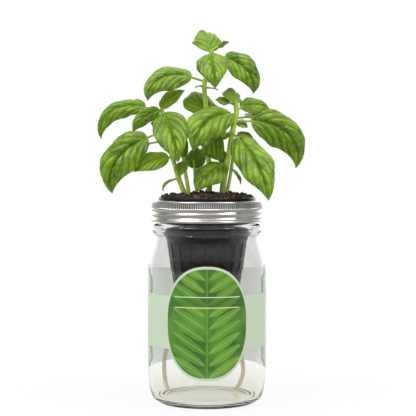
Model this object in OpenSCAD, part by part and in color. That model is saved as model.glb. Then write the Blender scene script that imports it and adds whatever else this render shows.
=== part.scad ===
// Jar planter: a wide-mouth glass jar with a screw band, a net pot hung in its
// mouth, two wicks that reach the reservoir, and a basil plant. Millimetres, +Z up,
// origin on the jar's axis where it stands.

/* [Jar] */
// How far the straight glass body stands out past the neck
body_out = 5.9; // [4.5:0.1:9]
// Height of the glass from the floor to its rim
jar_h = 160.5; // [150:0.5:185]
// Thickness of the glass wall
glass_t = 3; // [2:0.25:4]
// Thickness of the glass floor
floor_t = 6; // [4:0.5:9]
// How far the ring that the jar stands on is set in from the body
foot_in = 8.5; // [7:0.5:11]
// Height of the punt under the floor
punt_h = 2.5; // [1:0.25:3.5]
// Height of the rounded heel
heel_h = 26; // [20:1:32]
// Height of the neck and shoulder together, down from the rim
shoulder_h = 49; // [44:1:56]
// Outer radius of the neck
neck_r = 41.6; // [39:0.1:44]
// Thickness of the neck's wall
neck_t = 3.8; // [3.3:0.1:4.1]
// How far the bead under the thread stands out from the neck
bead_out = 3.4; // [2.6:0.1:4.4]
// Height of the bead's middle, down from the rim
bead_drop = 20.5; // [19:0.5:22]
// How far the glass thread stands out from the neck
thread_out = 1.1; // [0.8:0.1:1.2]
// Rise of the glass thread in one turn
thread_pitch = 6; // [5:0.25:7]
// Number of turns of the glass thread
thread_turns = 1.25; // [1:0.25:1.5]

/* [Label] */
// Thickness of the label
label_t = 0.25; // [0.15:0.05:0.5]
// Height of the label's middle above the floor
label_mid = 68; // [64:1:70]
// Width of the front oval, across the jar
oval_w = 64; // [50:1:70]
// Height of the front oval
oval_h = 89; // [70:1:90]
// Height of the strap that joins the oval to the back panel
strap_h = 42; // [30:1:60]
// Height of the back panel
back_h = 80; // [60:1:86]
// Angle that the back panel wraps round the jar
back_angle = 216; // [120:2:230]
// Corner cut of the back panel
back_corner = 8; // [2:1:12]

/* [Screw band] */
// Height of the band
band_h = 17; // [15:0.5:18]
// Thickness of the tinplate
tin_t = 0.8; // [0.4:0.1:0.9]
// Depth of the rolled waves in the band's wall
roll_in = 0.7; // [0.4:0.1:0.9]
// Height of the knurled zone, with the shoulder over it
knurl_h = 8; // [6:0.5:9]
// Radius of the rolled bead round the bottom edge
curl_r = 1; // [0.8:0.1:1.3]

/* [Net pot] */
// Thickness of the plastic wall
pot_t = 1.4; // [1:0.1:2]
// Depth of the pot below the jar's rim
pot_h = 76; // [60:1:90]
// How far the pot's wall stands in from the jar's mouth where the collar ends
wall_in = 4.8; // [4:0.1:6]
// How much the radius narrows from there to the pot's floor
pot_taper = 7.5; // [5:0.5:9]
// Depth of the smooth collar below the jar's rim
collar_h = 30; // [24:1:34]
// How far the flange on the jar's rim stands out past the neck
flange_out = 0.4; // [0:0.1:0.8]
// Thickness of the flange
flange_t = 1.2; // [0.8:0.1:1.4]
// How far the raised rim stands in from the neck's outside
rim_in = 1.8; // [1.6:0.1:2.4]
// Height of the raised rim above the band's top
rim_rise = 2.3; // [1:0.1:5]
// Number of slots round the wall
slot_count = 18; // [12:1:20]
// Width of a slot
slot_w = 4; // [2:0.25:4.5]
// Number of rings that cross the slots
ring_count = 2; // [1:1:4]
// Height of a cross ring
ring_h = 2; // [1:0.25:3]

/* [Growing medium] */
// Height of the medium's crown above the pot's rim
crown_h = 2.4; // [0:0.1:5]

/* [Wicks] */
// Diameter of a wick
wick_d = 3.6; // [2.5:0.1:4]
// Distance of a wick's hole from the edge of the pot's floor
wick_in = 5.5; // [4.5:0.5:9]

/* [Plant] */
// Height of the tallest stem above the pot's rim
plant_h = 120; // [100:5:140]
// Depth that the stems are planted
plant_depth = 12; // [6:1:20]
// Thickness of a leaf blade
blade_t = 0.9; // [0.7:0.1:1.4]
// Diameter of a petiole
petiole_d = 1.7; // [1.3:0.1:2.2]

/* [Hidden] */
// Clearances between pieces that slide, turn or drop in
seat_gap = 0.1;
lip_gap = 0.2;
medium_gap = 0.3;
mouth_gap = 1.2;
thread_gap = 1.3;
hole_gap = 0.7;
label_gap = 0.02;
wick_hole_gap = 0.4;

// Places that follow from the sizes above
body_high_z = jar_h - shoulder_h;
jar_r = neck_r + body_out;
inner_r = jar_r - glass_t;
foot_r = jar_r - foot_in;
mouth_r = neck_r - neck_t;
bead_r = neck_r + bead_out;
collar_r = mouth_r - mouth_gap;
pot_wall_r = mouth_r - wall_in;
pot_floor_r = pot_wall_r - pot_taper;
flange_r = neck_r + flange_out;
rim_r = neck_r - rim_in;
band_hole_r = rim_r + hole_gap;
band_r = neck_r + thread_out + thread_gap + roll_in + tin_t;
wick_x = pot_floor_r - wick_in;
wick_end_z = floor_t + 0.7 * wick_d;
flange_z = jar_h + seat_gap;
flange_top_z = flange_z + flange_t;
lip_z = flange_top_z + lip_gap;
band_top_z = lip_z + tin_t;
band_low_z = band_top_z - band_h;
rim_z = band_top_z + rim_rise;
pot_low_z = jar_h - pot_h;
pot_floor_z = pot_low_z + pot_t;
soil_z = rim_z - 0.3;

// The rows below describe a plant 120 high
grow = plant_h / 120;

// Leaves, each [name, start on its stem, compass turn, rise, droop, petiole, length, width,
// roll, fold, curl]. Places are measured from the middle of the pot's rim. The turn is 0 to
// the right and -90 to the front, the rise is the petiole's angle above level, the droop is
// how far the midrib bends down by the tip, the roll turns the blade about its midrib, the
// fold lifts its two halves and the curl bends them down again towards their edges.
LEAVES = [
    ["leaf_crown", [2.4, 6.4, 117.4], -60, 93, -174, 1, 38, 28, -18, -1, -56],
    ["leaf_small_top", [4, 5, 119.5], 23, 29, 13, 6, 11, 9, -32, 4, 18],
    ["leaf_upper_front", [1.5, 6, 116], -80, -21, 63, 1, 42, 25, 9, 20, 54],
    ["leaf_upper_right", [4.5, 5.5, 117], 1, -18, 84, 10, 42, 30, 48, 19, 50],
    ["leaf_upper_left", [-2, 6, 94], -172, 17, 115, 11, 49, 31, -42, 0, 35],
    ["leaf_pale_left", [-37.5, 5.5, 71], 33, 54, 50, 1, 28, 14, 35, 7, 23],
    ["leaf_far_left", [-36.5, 5.5, 69.5], 175, 13, 122, 14, 55, 21, -70, 2, 85],
    ["leaf_small_left", [-36, 3.5, 71.5], -157, -20, 45, 3, 30, 15, -92, -5, 52],
    ["leaf_big_left", [-31.5, 3.5, 55], -175, -22, 90, 18, 60, 39, -51, 20, 68],
    ["leaf_centre_left", [-36, 4, 69], -70, -32, 38, 2, 55, 29, 27, 10, 8],
    ["leaf_centre_back", [-1, 7, 64], 122, 65, 40, 2, 28, 33, 0, 10, 40],
    ["leaf_centre_front", [23, 0.5, 67], -132, 1, 88, 5, 60, 33, -40, 9, 61],
    ["leaf_side_crown", [24, 1, 75], -50, 90, -180, 1, 25, 21, 0, 0, -50],
    ["leaf_small_upper_right", [22, 2, 75], -175, 25, 40, 4, 12, 11, -40, 10, 40],
    ["leaf_right", [25, 1, 71], 22, 22, 60, 3, 27, 18, 50, 10, 40],
    ["leaf_far_right", [22, -2.5, 61.5], 13, 0, 115, 14, 65, 35, 72, 6, 56],
    ["leaf_big_right", [20.5, -4, 52], -56, -30, 48, 8, 67, 33, 26, 14, 74],
    ["leaf_low_centre", [15, -4, 27], -142, -15, 60, 2, 36, 31, -20, 10, 50],
    ["leaf_folded", [20, -3, 53], -165, -20, 40, 10, 25, 38, -10, -65, 20],
    ["leaf_low_back", [-10, 13, 20], 80, 80, 40, 3, 20, 18, 0, 10, 40],
    ["leaf_low_left", [-29, 3, 32], -165, -4, 45, 2, 32, 18, -55, 10, 40],
    ["leaf_small_low_left", [-19, -7, 29], -110, -35, 50, 1, 15, 12, 0, 10, 40],
    ["leaf_seed_left", [-24, 2, 15], -160, -15, 90, 5, 13, 4, -20, 10, 40],
    ["leaf_small_right", [21, -1, 49], 15, 15, 70, 4, 15, 9, 40, 10, 40],
    ["leaf_node_right", [21.5, -0.5, 59], 10, 4, 60, 3, 9.5, 9.5, 50, 17, 14],
    ["leaf_small_mid", [20, -1, 50], 150, 0, 20, 2, 14, 8, -60, 10, 40],
    ["leaf_seed_right", [20, 12, 23], -15, -40, 60, 3, 13, 5, 20, 10, 40],
    ["leaf_bud_left", [-3, 4, 90], -155, 10, 60, 1, 7, 3.5, 0, 10, 40],
    ["leaf_bud_right", [-1, 4, 89], -30, 0, 30, 1, 11, 3, 0, 10, 40],
    ["leaf_dark_right", [15, -2, 24], 105, 55, 20, 2, 19, 10, 0, 10, 40],
    ["leaf_dark_left", [-19, -5, 30], 100, 75, 20, 2, 23, 10, 0, 10, 40],
    ["leaf_rear_upper", [4, 7, 115], 95, -5, 75, 2, 38, 25, 0, 10, 50],
    ["leaf_rear_centre", [0, 7, 58], 92, 5, 75, 4, 52, 30, 0, 10, 50],
    ["leaf_rear_left", [-36, 6, 67], 80, -5, 75, 4, 52, 30, 0, 10, 50],
    ["leaf_rear_right", [24, 0, 64], 45, 5, 60, 14, 48, 28, 20, 10, 50],
    ["leaf_rear_low_right", [20, -1, 44], 60, -5, 80, 8, 58, 32, 10, 10, 50],
    ["leaf_rear_low_left", [-33, 5, 46], 145, -8, 80, 20, 48, 32, -10, 10, 50],
    ["leaf_rear_low_centre", [2, 6, 20], 90, 10, 70, 2, 40, 26, 0, 10, 50],
];

// Stems, each [name, diameter at the soil, diameter at the top, points from the soil up],
// with the points measured from the middle of the pot's rim.
STEMS = [
    ["stem_left", 4, 2.6, [[-17, 2, 0], [-23, 2, 15], [-28, 3, 32], [-33, 4, 50], [-37, 5, 72]]],
    ["stem_left_short", 3.4, 2.2, [[-14, -6, 0], [-17, -7, 18], [-19, -6, 32]]],
    ["stem_back", 2.6, 1.8, [[-8, 12, 0], [-10, 13, 21], [-11, 13, 30]]],
    ["stem_tall", 4.2, 3, [[2, 4, 0], [2, 5, 22], [0, 6, 46], [-1, 6, 74], [-2, 5, 92],
        [2, 6, 107], [4, 6, 120]]],
    ["stem_right", 5, 3.2, [[12, -2, 0], [15, -3, 22], [18, -3, 36], [21, -2, 54], [24, 0, 69],
        [23, 1, 78]]],
    ["stem_right_short", 3, 2, [[16, 10, 0], [20, 12, 22], [21, 13, 32]]],
];

// Wicks from the pot's floor to where they rest in the jar, each point [right, back, up].
// Right and back are multiples of the hole's distance from the axis. Up is a share of the
// way from the resting end to the pot's floor.
WICK_LEFT = [
    [-1, 0, 1], [-1, 0, 0.93], [-1, 0, 0.86], [-1.05, 0, 0.77], [-1.2, 0.05, 0.66],
    [-1.4, 0.1, 0.56], [-1.6, 0.15, 0.45], [-1.72, 0.2, 0.35], [-1.75, 0.2, 0.24],
    [-1.73, 0.15, 0.14], [-1.66, 0.05, 0.05], [-1.58, -0.1, 0],
];
WICK_RIGHT = [
    [1, 0, 1], [1, 0, 0.93], [1, 0, 0.86], [1.03, -0.05, 0.77], [1.1, -0.15, 0.66],
    [1.2, -0.25, 0.56], [1.3, -0.3, 0.45], [1.39, -0.3, 0.35], [1.46, -0.25, 0.24],
    [1.42, -0.15, 0.14], [1.3, 0, 0.05], [1.15, 0.15, 0],
];

round_fn = 96;

// A midrib bends the more the nearer it is to its tip
droop_power = 1.5;

// An arc of the given length that starts at an angle and bends down by another
function arc(length, start, bend) =
    abs(bend) < 0.01
    ? length * [cos(start), sin(start)]
    : length * 180 / (PI * bend) * [sin(start) - sin(start - bend), cos(start - bend) - cos(start)];

// Glass thread: short ring segments that climb round the neck
module glass_thread() {
    step_angle = 15;
    steps = thread_turns * 360 / step_angle;
    start_z = jar_h - 11;
    for (i = [0 : steps - 1])
        rotate([0, 0, -i * step_angle])
            translate([0, 0, start_z + i * thread_pitch * step_angle / 360])
                rotate_extrude(angle = step_angle, $fn = round_fn)
                    polygon([
                        [neck_r - 0.5, -1.4],
                        [neck_r, -1.4],
                        [neck_r + thread_out, -0.4],
                        [neck_r + thread_out, 0.4],
                        [neck_r, 1.4],
                        [neck_r - 0.5, 1.4]
                    ]);
}

// Outline of the glass from its foot to its rim, set in by an amount
function shoulder_curve(from_r, to_r, from_z, to_z, count) =
    [for (i = [0 : count])
        let (t = i / count, s = (1 - cos(180 * t)) / 2)
        [from_r + (to_r - from_r) * s, from_z + (to_z - from_z) * t]];

function heel_curve(from_r, to_r, from_z, to_z, count) =
    [for (i = [0 : count])
        let (a = 90 * i / count)
        [from_r + (to_r - from_r) * sin(a), to_z - (to_z - from_z) * cos(a)]];

module glass_jar() {
    neck_low_z = jar_h - bead_drop - 5;
    bead_z = jar_h - bead_drop;
    outer = concat(
        [[0, punt_h], [foot_r - 7, punt_h], [foot_r - 3, 0], [foot_r, 0]],
        heel_curve(foot_r + 3, jar_r, 2.5, heel_h, 8),
        shoulder_curve(jar_r, neck_r + 1, body_high_z, neck_low_z, 12),
        [[bead_r - 1, bead_z - 3], [bead_r, bead_z - 1.5], [bead_r, bead_z + 1.5]],
        [[bead_r - 1, bead_z + 3], [neck_r, bead_z + 4], [neck_r, jar_h - 1.5]],
        [[neck_r - 1.5, jar_h], [mouth_r + 1, jar_h], [mouth_r, jar_h - 1]]
    );
    cavity = concat(
        [[0, floor_t]],
        heel_curve(foot_r - 4, inner_r, floor_t, heel_h, 8),
        shoulder_curve(inner_r, mouth_r, body_high_z - 3, bead_z - 4, 12),
        [[mouth_r, jar_h + 1], [0, jar_h + 1]]
    );
    color([0.85, 0.93, 0.88, 0.35])
        union() {
            difference() {
                rotate_extrude($fn = round_fn) polygon(concat(outer, [[0, jar_h - 1]]));
                rotate_extrude($fn = round_fn) polygon(cavity);
            }
            glass_thread();
        }
}

// Front oval, strap and back panel, cut from one thin tube of paper round the body
module label() {
    r = jar_r + label_gap;
    reach = jar_r + 5;
    clear_y = 4;
    tall = max(oval_h, back_h) + 2;
    oval = [for (a = [0 : 7.5 : 352.5])
        [oval_w / 2 * pow(abs(cos(a)), 0.85) * sign(cos(a)),
         label_mid + oval_h / 2 * pow(abs(sin(a)), 0.85) * sign(sin(a))]];
    edge_y = r * cos(back_angle / 2);
    cut_y = edge_y + back_corner;
    half = back_h / 2;
    back = [
        [edge_y, half - back_corner], [edge_y, back_corner - half], [cut_y, -half],
        [reach, -half], [reach, half], [cut_y, half]
    ];
    color([0.78, 0.85, 0.74])
        intersection() {
            translate([0, 0, label_mid - tall / 2])
                difference() {
                    cylinder(r = r + label_t, h = tall, $fn = round_fn);
                    translate([0, 0, -1]) cylinder(r = r, h = tall + 2, $fn = round_fn);
                }
            union() {
                translate([0, -clear_y, 0]) rotate([90, 0, 0]) linear_extrude(reach) polygon(oval);
                translate([0, 0, label_mid - strap_h / 2]) cylinder(r = reach, h = strap_h, $fn = 60);
                translate([-reach, 0, label_mid])
                    rotate([90, 0, 90]) linear_extrude(2 * reach) polygon(back);
            }
        }
}

// Top lip, knurled wall, two rolled waves and a curled edge
module screw_band() {
    wall_out = band_r;
    low = band_low_z + curl_r;
    top = band_top_z;
    knurl_z = top - knurl_h;
    outer = concat(
        [[band_hole_r, top], [wall_out - 1.5, top], [wall_out - 0.4, top - 0.5]],
        [[wall_out, top - 1.6], [wall_out, knurl_z]],
        [for (i = [1 : 8])
            let (t = i / 8)
            [wall_out - roll_in * (1 - cos(720 * t)) / 2, knurl_z + (low - knurl_z) * t]]
    );
    inner = [for (i = [len(outer) - 1 : -1 : 3]) [outer[i][0] - tin_t, outer[i][1]]];
    color([0.78, 0.78, 0.77])
        union() {
            rotate_extrude($fn = round_fn)
                polygon(concat(
                    outer,
                    inner,
                    [[wall_out - tin_t, top - tin_t - 1], [wall_out - tin_t - 0.8, top - tin_t]],
                    [[band_hole_r, top - tin_t]]
                ));
            rotate_extrude($fn = round_fn)
                translate([wall_out - tin_t / 2 + 0.3, low]) circle(r = curl_r, $fn = 24);
        }
}

module net_pot() {
    collar_z = jar_h - collar_h;
    rim_inner_r = rim_r - pot_t;
    vent_r = 6;
    vent_w = 3;
    outer = [
        [0, pot_low_z], [pot_floor_r, pot_low_z], [pot_wall_r - 0.6, collar_z],
        [pot_wall_r, collar_z + 1], [pot_wall_r + 0.6, collar_z + 6], [collar_r, jar_h - 2],
        [collar_r, flange_z], [flange_r, flange_z], [flange_r, flange_top_z],
        [rim_r, flange_top_z], [rim_r, rim_z - 0.6], [rim_r - 0.5, rim_z],
        [rim_inner_r, rim_z], [rim_inner_r, flange_top_z + 1.4], [collar_r - pot_t, flange_z + 0.8],
        [pot_wall_r + 0.6 - pot_t, collar_z + 6], [pot_wall_r - pot_t, collar_z + 1],
        [pot_wall_r - 0.6 - pot_t, collar_z], [pot_floor_r - pot_t, pot_floor_z],
        [0, pot_floor_z]
    ];
    slot_low = pot_low_z + 6;
    slot_high = collar_z - 2;
    bay_h = (slot_high - slot_low - ring_count * ring_h) / (ring_count + 1);
    color([0.09, 0.09, 0.1])
        difference() {
            rotate_extrude($fn = round_fn) polygon(outer);
            for (i = [0 : slot_count - 1], bay = [0 : ring_count])
                rotate([0, 0, (i + 0.5) * 360 / slot_count])
                    translate([pot_floor_r - 6, -slot_w / 2, slot_low + bay * (bay_h + ring_h)])
                        cube([pot_wall_r - pot_floor_r + 12, slot_w, bay_h]);
            for (side = [-1, 1])
                translate([side * wick_x, 0, pot_low_z - 1])
                    cylinder(d = wick_d + 2 * wick_hole_gap, h = pot_t + 2, $fn = 32);
            for (i = [0 : 5])
                rotate([0, 0, i * 60 + 30])
                    translate([vent_r, -vent_w / 2, pot_low_z - 1])
                        cube([pot_floor_r - wick_in - vent_r, vent_w, pot_t + 2]);
        }
}

module growing_medium() {
    collar_z = jar_h - collar_h;
    g = pot_t + medium_gap;
    crown_r = rim_r - pot_t - medium_gap;
    color([0.17, 0.11, 0.07])
        rotate_extrude($fn = round_fn)
            polygon(concat(
                [[0, pot_floor_z], [pot_floor_r - g - 0.3, pot_floor_z]],
                [[pot_wall_r - 0.6 - g, collar_z], [pot_wall_r - g, collar_z + 1]],
                [[pot_wall_r + 0.6 - g, collar_z + 6], [collar_r - g, flange_z + 0.8]],
                [[crown_r, flange_top_z + 1.4 + medium_gap]],
                [for (i = [0 : 6])
                    let (t = i / 6)
                    [crown_r * (1 - t), soil_z + crown_h * sin(90 * t)]]
            ));
}

// Closed tube along a list of points, with a radius for each
module tube(points, radii, sides) {
    last = len(points) - 1;
    rings = [for (i = [0 : last])
        let (
            before = points[max(i - 1, 0)],
            after = points[min(i + 1, last)],
            ahead = (after - before) / norm(after - before),
            u = cross(ahead, [0, 1, 0]) / norm(cross(ahead, [0, 1, 0])),
            v = cross(ahead, u)
        )
        for (k = [0 : sides - 1])
            points[i] + radii[i] * (cos(360 * k / sides) * u + sin(360 * k / sides) * v)];
    walls = [for (i = [0 : last - 1], k = [0 : sides - 1])
        let (
            a = i * sides + k,
            b = i * sides + (k + 1) % sides
        )
        for (f = [[a, b, b + sides], [a, b + sides, a + sides]]) f];
    low_cap = [for (k = [1 : sides - 2]) [0, k + 1, k]];
    top = last * sides;
    high_cap = [for (k = [1 : sides - 2]) [top, top + k, top + k + 1]];
    polyhedron(rings, concat(walls, low_cap, high_cap));
}

// Smooth points through a short list, with a few steps to each span
function through(points, steps) =
    let (last = len(points) - 1)
    concat(
        [for (i = [0 : last - 1], s = [0 : steps - 1])
            let (
                t = s / steps,
                p0 = points[max(i - 1, 0)],
                p1 = points[i],
                p2 = points[i + 1],
                p3 = points[min(i + 2, last)]
            )
            p1 + t * ((p2 - p0) / 2 + t * (p0 - 2.5 * p1 + 2 * p2 - 0.5 * p3
                + t * (1.5 * p1 - 1.5 * p2 + 0.5 * p3 - 0.5 * p0)))],
        [points[last]]
    );

// A wick hangs from the medium's underside, through its hole in the pot's floor
module wick(row) {
    points = [for (p = row)
        [wick_x * p[0], wick_x * p[1], wick_end_z + (pot_low_z - wick_end_z) * p[2]]];
    first = [[points[0][0], points[0][1], pot_floor_z]];
    whole = concat(first, through(points, 2));
    color([0.8, 0.74, 0.6]) tube(whole, [for (p = whole) wick_d / 2], 8);
}

module stem(row) {
    points = grow * row[3];
    low = points[0] - [0, 0, plant_depth];
    path = concat([low], through(points, 2));
    last = len(path) - 1;
    color([0.55, 0.66, 0.25])
        translate([0, 0, rim_z])
            tube(path, [for (i = [0 : last]) grow * (row[1] + (row[2] - row[1]) * i / last) / 2], 8);
}

// Share of its greatest width that a blade has at a share of its length
function blade_outline(s) = pow(max(sin(180 * pow(s, 0.8)), 0), 0.55 + 0.4 * s);

// One leaf: a petiole and a blade that follow one midrib
module leaf(row) {
    start = grow * row[1];
    turn = row[2];
    rise = row[3];
    droop = row[4];
    petiole = grow * row[5];
    length = grow * row[6];
    width = grow * row[7];
    roll = row[8];
    fold = row[9];
    curl = row[10];
    small = row[6] < 18;
    strips = small ? 2 : 4;
    blade_steps = small ? 5 : 8;
    stations = concat([-petiole, 0], [for (i = [1 : blade_steps]) length * i / blade_steps]);
    last = len(stations) - 1;
    function pitch_at(s) = rise - droop * pow(s, droop_power);
    function heading(s) = [cos(pitch_at(s)), sin(pitch_at(s))];
    function run_to(k) =
        k == 0
        ? petiole * heading(0)
        : run_to(k - 1) + length / blade_steps * heading((k - 0.5) / blade_steps);
    along = [cos(turn), sin(turn), 0];
    left = [-sin(turn), cos(turn), 0];
    up = [0, 0, 1];
    points = [for (i = [0 : last])
        let (
            d = stations[i],
            s = max(d, 0) / length,
            pitch = pitch_at(s),
            run = i == 0 ? [0, 0] : run_to(i - 1),
            middle = start + run[0] * along + run[1] * up,
            above = cos(pitch) * up - sin(pitch) * along,
            side = cos(roll) * left + sin(roll) * above,
            face = cos(roll) * above - sin(roll) * left,
            half = max(width / 2 * blade_outline(s), petiole_d / 2 * (1 - 0.7 * s)),
            open = min(1, 5 * s),
            thick = (petiole_d + (blade_t - petiole_d) * min(1, 4 * s)) / 2
        )
        for (j = [0 : strips])
            let (
                v = 2 * j / strips - 1,
                across = arc(half * abs(v), fold * open, curl * open * abs(v)),
                lean = v == 0 ? 0 : (fold - curl * abs(v)) * open * sign(v),
                skin = cos(lean) * face - sin(lean) * side,
                spot = middle + sign(v) * across[0] * side + across[1] * face
            )
            for (k = [1, -1]) spot + k * thick * skin];
    wide = strips + 1;
    function at(i, j, k) = (i * wide + j) * 2 + k;
    faces = concat(
        [for (i = [0 : last - 1], j = [0 : strips - 1])
            let (a = at(i, j, 0), b = at(i, j + 1, 0), c = at(i + 1, j + 1, 0), d = at(i + 1, j, 0))
            for (f = [[a, c, b], [a, d, c], [a + 1, b + 1, c + 1], [a + 1, c + 1, d + 1]]) f],
        [for (i = [0 : last - 1])
            let (a = at(i, 0, 0), b = at(i + 1, 0, 0), c = at(i, strips, 0), d = at(i + 1, strips, 0))
            for (f = [[a, a + 1, b + 1], [a, b + 1, b], [c, d + 1, c + 1], [c, d, d + 1]]) f],
        [for (j = [0 : strips - 1])
            let (a = at(0, j, 0), b = at(0, j + 1, 0), c = at(last, j, 0), d = at(last, j + 1, 0))
            for (f = [[a, b, b + 1], [a, b + 1, a + 1], [c, d + 1, d], [c, c + 1, d + 1]]) f]
    );
    color([0.36, 0.55, 0.16])
        translate([0, 0, rim_z]) polyhedron(points, faces);
}

glass_jar();
label();
screw_band();
net_pot();
growing_medium();
wick(WICK_LEFT);  // wick_left
wick(WICK_RIGHT);  // wick_right
for (row = STEMS) stem(row);
for (row = LEAVES) leaf(row);
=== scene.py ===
"""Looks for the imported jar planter: glass, printed label, tinplate band, net pot, growing
medium, wicks and basil foliage, with the camera and the white set they are seen in.

Sizes in this file are millimetres, and become metres where a mesh is made."""

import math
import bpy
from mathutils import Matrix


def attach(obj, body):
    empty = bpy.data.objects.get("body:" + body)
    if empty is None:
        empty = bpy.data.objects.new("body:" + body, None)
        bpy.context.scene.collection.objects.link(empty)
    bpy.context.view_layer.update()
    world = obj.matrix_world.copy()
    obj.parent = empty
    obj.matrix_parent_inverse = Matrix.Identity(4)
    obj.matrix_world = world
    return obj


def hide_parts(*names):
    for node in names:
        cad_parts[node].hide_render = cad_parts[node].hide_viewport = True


bl_info = {
    "name": "Jar planter dressing",
    "version": (1, 0, 0),
    "blender": (4, 5, 0),
    "location": "View3D > Sidebar > Jar planter",
    "description": "Builds the looks of a jar planter around its packed model",
    "category": "Object",
}

import bpy
import numpy as np
from mathutils import Vector

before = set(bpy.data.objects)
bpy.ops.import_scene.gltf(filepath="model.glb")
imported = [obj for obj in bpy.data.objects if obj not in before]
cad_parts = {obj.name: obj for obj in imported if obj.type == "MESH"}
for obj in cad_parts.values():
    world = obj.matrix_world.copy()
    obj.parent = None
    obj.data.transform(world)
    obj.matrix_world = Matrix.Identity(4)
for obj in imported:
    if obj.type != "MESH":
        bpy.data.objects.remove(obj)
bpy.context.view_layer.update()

MM = 0.001

# Glass jar
JAR_R, JAR_H = 47.5, 160.5
GLASS_T, FLOOR_T = 3.0, 6.0
FOOT_R, PUNT_H = 39.0, 2.5
HEEL_H, SHOULDER_H = 26.0, 49.0
NECK_R, MOUTH_R = 41.6, 37.8
BEAD_R, BEAD_DROP = 45.0, 20.5
THREAD_OUT, THREAD_HALF, THREAD_PITCH, THREAD_TURNS, THREAD_DROP = 1.1, 1.4, 6.0, 1.25, 11.0

# Label
LABEL_T, LABEL_GAP, LABEL_MID = 0.25, 0.02, 68.0
OVAL_W, OVAL_H, STRAP_H = 64.0, 89.0, 42.0
BACK_H, BACK_ANGLE, BACK_CORNER = 80.0, 216.0, 8.0
OVAL_POWER = 2.353
BORDER_SIDE, BORDER_END = 1.1, 1.9
SPRIG_SLOPE, SPRIG_START, SPRIG_REACH, SPRIG_HALF = 0.62, 1.2, 25.0, 3.9
RULES_HIGH, RIBBON_HIGH, RULES_LOW, RULES_END = 20.6, 16.5, 12.4, 25.0

# Screw band
BAND_R, BAND_TOP_Z, BAND_H = 45.5, 162.8, 17.0
BAND_LOW_Z = BAND_TOP_Z - BAND_H
TIN_T, BAND_HOLE_R, CURL_R = 0.8, 40.5, 1.0
KNURL_LOW_Z, KNURL_HIGH_Z, KNURL_LEAN = BAND_TOP_Z - 6.4, BAND_TOP_Z - 1.5, 0.3

# Net pot and growing medium, whose side is a list of (radius, height)
RIM_Z, POT_FLOOR_Z = 165.1, 85.9
SOIL_R, SOIL_Z, CROWN_H = 38.0, 164.8, 2.4
PLUG_SIDE = [
    (1, POT_FLOOR_Z), (23.5, POT_FLOOR_Z), (30.7, 130.5), (31.9, 136.5), (34.9, 161.4), (SOIL_R, 163.4),
]

# Wicks, from the medium's underside to the cut end on the jar's floor
WICK_D, STRAND_R, STRAND_OUT = 3.6, 1.08, 0.74
WICK_LEFT = [
    (-20, 0, 84.5), (-20, 0, 79.2), (-20, 0, 73.9), (-21, 0, 67), (-24, 1, 58.7), (-28, 2, 51.1),
    (-32, 3, 42.7), (-34.4, 4, 35.1), (-35, 4, 26.8), (-34.6, 3, 19.2), (-33.2, 1, 12.3),
    (-31.6, -2, 8.5),
]
WICK_RIGHT = [
    (20, 0, 84.5), (20, 0, 79.2), (20, 0, 73.9), (20.6, -1, 67), (22, -3, 58.7), (24, -5, 51.1),
    (26, -6, 42.7), (27.8, -6, 35.1), (29.2, -5, 26.8), (28.4, -3, 19.2), (26, 0, 12.3),
    (23, 3, 8.5),
]

# Stems: name, diameter at the soil, diameter at the top, points from the soil up, measured
# from the middle of the pot's rim
PLANT_DEPTH = 12.0
STEMS = [
    ("left", 4, 2.6, [(-17, 2, 0), (-23, 2, 15), (-28, 3, 32), (-33, 4, 50), (-37, 5, 72)]),
    ("left_short", 3.4, 2.2, [(-14, -6, 0), (-17, -7, 18), (-19, -6, 32)]),
    ("back", 2.6, 1.8, [(-8, 12, 0), (-10, 13, 21), (-11, 13, 30)]),
    ("tall", 4.2, 3, [(2, 4, 0), (2, 5, 22), (0, 6, 46), (-1, 6, 74), (-2, 5, 92), (2, 6, 107),
                      (4, 6, 120)]),
    ("right", 5, 3.2, [(12, -2, 0), (15, -3, 22), (18, -3, 36), (21, -2, 54), (24, 0, 69),
                       (23, 1, 78)]),
    ("right_short", 3, 2, [(16, 10, 0), (20, 12, 22), (21, 13, 32)]),
]

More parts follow.
